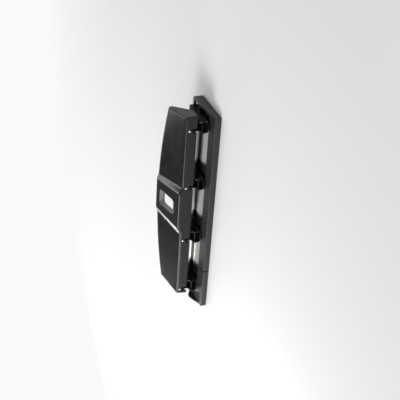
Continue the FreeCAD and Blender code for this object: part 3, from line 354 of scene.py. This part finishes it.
def squeezing_springs(material):
    """Copies of the return springs, tied to the base. They stand for the rigid CAD springs, which are hidden.
    """
    for node in numbered("pin_spring"):
        mesh = NODES[node].data.copy()
        mesh.materials.clear()
        mesh.materials.append(material)
        spring = bpy.data.objects.new("squeezed_" + node, mesh)
        bpy.context.scene.collection.objects.link(spring)
        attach(spring, "base")
        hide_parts(node)
        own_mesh(spring)


class PUNCH_OT_handle(bpy.types.Operator):
    """Finish the handle and the frame of its window"""
    bl_idname = "punch.handle"
    bl_label = "Handle"

    def execute(self, context):
        colours, sizes = context.scene.punch_colours, context.scene.punch_sizes
        dress(handle_lacquer(colours, sizes), "handle_shell")
        dress(frame_plastic(colours, sizes), "window_bezel")
        return {"FINISHED"}


class PUNCH_OT_heads(bpy.types.Operator):
    """Finish the four heads with their arms, pins, clips and springs"""
    bl_idname = "punch.heads"
    bl_label = "Punch heads"

    def execute(self, context):
        colours, sizes = context.scene.punch_colours, context.scene.punch_sizes
        lacquer = head_lacquer(colours, sizes)
        dress(lacquer, *numbered("head_bracket"), *numbered("lever_arm"), "bracket_rivets", "pivot_pins")
        ground = bright_steel("ground_steel", colours.steel, sizes, "ground", ALONG_Z)
        dress(ground, *numbered("punch_pin"), "arm_rivets")
        wire = bright_steel("spring_wire", lighter(colours.steel, 0.8), sizes, "wire")
        dress(wire, *numbered("pin_spring"))
        squeezing_springs(wire)
        dress(bright_steel("blued_steel", colours.blued, sizes, "blued"), *numbered("pin_clip"))
        return {"FINISHED"}


class PUNCH_OT_base(bpy.types.Operator):
    """Finish the base, the guide, the plate, the stop and what hides under them"""
    bl_idname = "punch.base"
    bl_label = "Base"

    def execute(self, context):
        colours, sizes = context.scene.punch_colours, context.scene.punch_sizes
        dress(moulded_plastic("base_plastic", colours.base, sizes), "base_housing", "paper_guide")
        dress(moulded_plastic("tray_plastic", colours.tray, sizes), "chip_tray_left", "chip_tray_right")
        dress(nickel(colours, sizes), "base_plate")
        dress(stop_plating(colours, sizes), "paper_stop")
        dress(bright_steel("zinc_steel", colours.steel, sizes, "zinc"), "plate_screws")
        dress(foot_rubber(colours, sizes), "rubber_feet")
        return {"FINISHED"}


# Studio

CAMERA_AZIMUTH = 34.762       # degrees round from the front, towards the right end
CAMERA_ELEVATION = 18.947
CAMERA_ROLL = -8.429          # the picture's length runs up the frame, so the camera lies on its side
CAMERA_DISTANCE = 1.0351
CAMERA_TARGET = Vector((0.0155, -0.014883, 0.010757))
CAMERA_FOCUS = 815.2          # focal length in pixels of a 400 pixel frame
FRAME_PIXELS = 400
SENSOR = 36.0                 # millimetres
CLIP_START, CLIP_END = 0.01, 50.0


def studio_camera():
    """Camera on its side: the punch's length runs up the picture, as in the photograph."""
    azimuth, elevation, roll = (math.radians(v) for v in (CAMERA_AZIMUTH, CAMERA_ELEVATION, CAMERA_ROLL))
    forward = Vector((-math.sin(azimuth) * math.cos(elevation), math.cos(azimuth) * math.cos(elevation),
                      -math.sin(elevation)))
    right = Vector((math.cos(azimuth), math.sin(azimuth), 0.0))
    down = -right.cross(forward)
    picture_up = math.cos(roll) * right - math.sin(roll) * down
    picture_right = math.sin(roll) * right + math.cos(roll) * down
    data = bpy.data.cameras.new("camera")
    data.sensor_width = SENSOR
    data.lens = CAMERA_FOCUS / FRAME_PIXELS * SENSOR
    data.clip_start = CLIP_START
    data.clip_end = CLIP_END
    camera = bpy.data.objects.new("camera", data)
    place = CAMERA_TARGET - forward * CAMERA_DISTANCE
    turn = Matrix((picture_right, picture_up, -forward)).transposed().to_4x4()
    camera.matrix_world = Matrix.Translation(place) @ turn
    bpy.context.scene.collection.objects.link(camera)
    bpy.context.scene.camera = camera


# Area lamps: name, place, point aimed at, width and height in metres, power in watts
PUNCH_MIDDLE = (0.0, 0.0, 0.03)
LAMPS = (
    ("key", (-0.981, -0.522, 1.18), PUNCH_MIDDLE, 0.8, 0.8, 14.5),
    ("back", (-0.209, 0.98, 1.31), PUNCH_MIDDLE, 0.67, 0.48, 5.2),
    ("side", (-0.34, -0.29, 0.11), (-0.13, -0.03, 0.02), 0.20, 0.12, 0.6),
    ("rear_left", (-0.906, 0.708, 0.295), PUNCH_MIDDLE, 0.20, 0.26, 1.8),
)


def soft_box(name, place, aim, wide, high, power):
    data = bpy.data.lights.new(name, "AREA")
    data.shape = "RECTANGLE"
    data.size = wide
    data.size_y = high
    data.energy = power
    lamp = bpy.data.objects.new(name, data)
    lamp.location = place
    lamp.rotation_mode = "QUATERNION"
    lamp.rotation_quaternion = (Vector(aim) - Vector(place)).to_track_quat("-Z", "Y")
    bpy.context.scene.collection.objects.link(lamp)


# Brightness of the room by the sine of the height: pale walls, dark upper walls, pale ceiling
ROOM = ((0.36, 0.95), (0.64, 0.08), (0.88, 0.08), (0.96, 0.95))
ROOM_BLUE = 1.01              # how much bluer than red and green the room is


def studio_world():
    """Pale walls, a dark band over them and a pale ceiling, for every ray alike."""
    world = bpy.data.worlds.new("studio")
    world.use_nodes = True
    tree = world.node_tree
    direction = tree.nodes.new("ShaderNodeTexCoord")
    split = tree.nodes.new("ShaderNodeSeparateXYZ")
    tree.links.new(direction.outputs["Generated"], split.inputs[0])
    ramp = tree.nodes.new("ShaderNodeValToRGB")
    ramp.color_ramp.interpolation = "EASE"
    stops = ramp.color_ramp.elements
    while len(stops) < len(ROOM):
        stops.new(1.0)
    for stop, (height, level) in zip(stops, ROOM):
        stop.position = height
        stop.color = (level, level, level * ROOM_BLUE, 1.0)
    tree.links.new(split.outputs["Z"], ramp.inputs["Fac"])
    background = tree.nodes["Background"]
    tree.links.new(ramp.outputs["Color"], background.inputs["Color"])
    background.inputs["Strength"].default_value = 1.0
    bpy.context.scene.world = world


def studio_floor(sizes):
    """A plain pale card that fades out into the room's pale walls."""
    half = sizes.floor_far
    corners = [(-half, -half, 0), (half, -half, 0), (half, half, 0), (-half, half, 0)]
    mesh = bpy.data.meshes.new("floor")
    mesh.from_pydata(corners, [], [(0, 1, 2, 3)])
    floor = bpy.data.objects.new("floor", mesh)
    bpy.context.scene.collection.objects.link(floor)
    s = Shader("floor_card")
    white = sizes.floor_white
    base = s.mix(s.noise(0.5, 2.0), (white * 0.985,) * 3, (white, white, white))
    reach = s.node("ShaderNodeVectorMath", operation="LENGTH")
    s.link(s.place, reach.inputs[0])
    solid = s.ramp(reach.outputs["Value"], sizes.floor_near, sizes.floor_far, 1.0, 0.0)
    s.link(solid, s.bsdf.inputs["Alpha"])
    s.fixed(Specular_IOR_Level=0.1, Roughness=0.8)
    mesh.materials.append(s.finish(base))


class PUNCH_OT_studio(bpy.types.Operator):
    """Set up the floor, the soft light and the camera"""
    bl_idname = "punch.studio"
    bl_label = "Studio"

    def execute(self, context):
        studio_world()
        studio_floor(context.scene.punch_sizes)
        for lamp in LAMPS:
            soft_box(*lamp)
        context.scene.view_settings.view_transform = "Standard"
        studio_camera()
        return {"FINISHED"}


class PUNCH_PT_panel(bpy.types.Panel):
    """The steps, and the colours and sizes that they use"""
    bl_label = "Four-hole punch"
    bl_idname = "PUNCH_PT_panel"
    bl_space_type = "VIEW_3D"
    bl_region_type = "UI"
    bl_category = "Punch"

    def draw(self, context):
        for step in STEPS:
            self.layout.operator(step.bl_idname)
        for group in (context.scene.punch_colours, context.scene.punch_sizes):
            for key in group.__annotations__:
                self.layout.prop(group, key)


STEPS = (PUNCH_OT_base, PUNCH_OT_heads, PUNCH_OT_handle, PUNCH_OT_studio)
CLASSES = (PunchColours, PunchSizes, *STEPS, PUNCH_PT_panel)


def register():
    for cls in CLASSES:
        bpy.utils.register_class(cls)
    bpy.types.Scene.punch_colours = PointerProperty(type=PunchColours)
    bpy.types.Scene.punch_sizes = PointerProperty(type=PunchSizes)


def unregister():
    del bpy.types.Scene.punch_sizes
    del bpy.types.Scene.punch_colours
    for cls in reversed(CLASSES):
        bpy.utils.unregister_class(cls)


def main():
    register()
    bpy.ops.punch.base()
    bpy.ops.punch.heads()
    bpy.ops.punch.handle()
    bpy.ops.punch.studio()


if __name__ == "__main__":
    main()
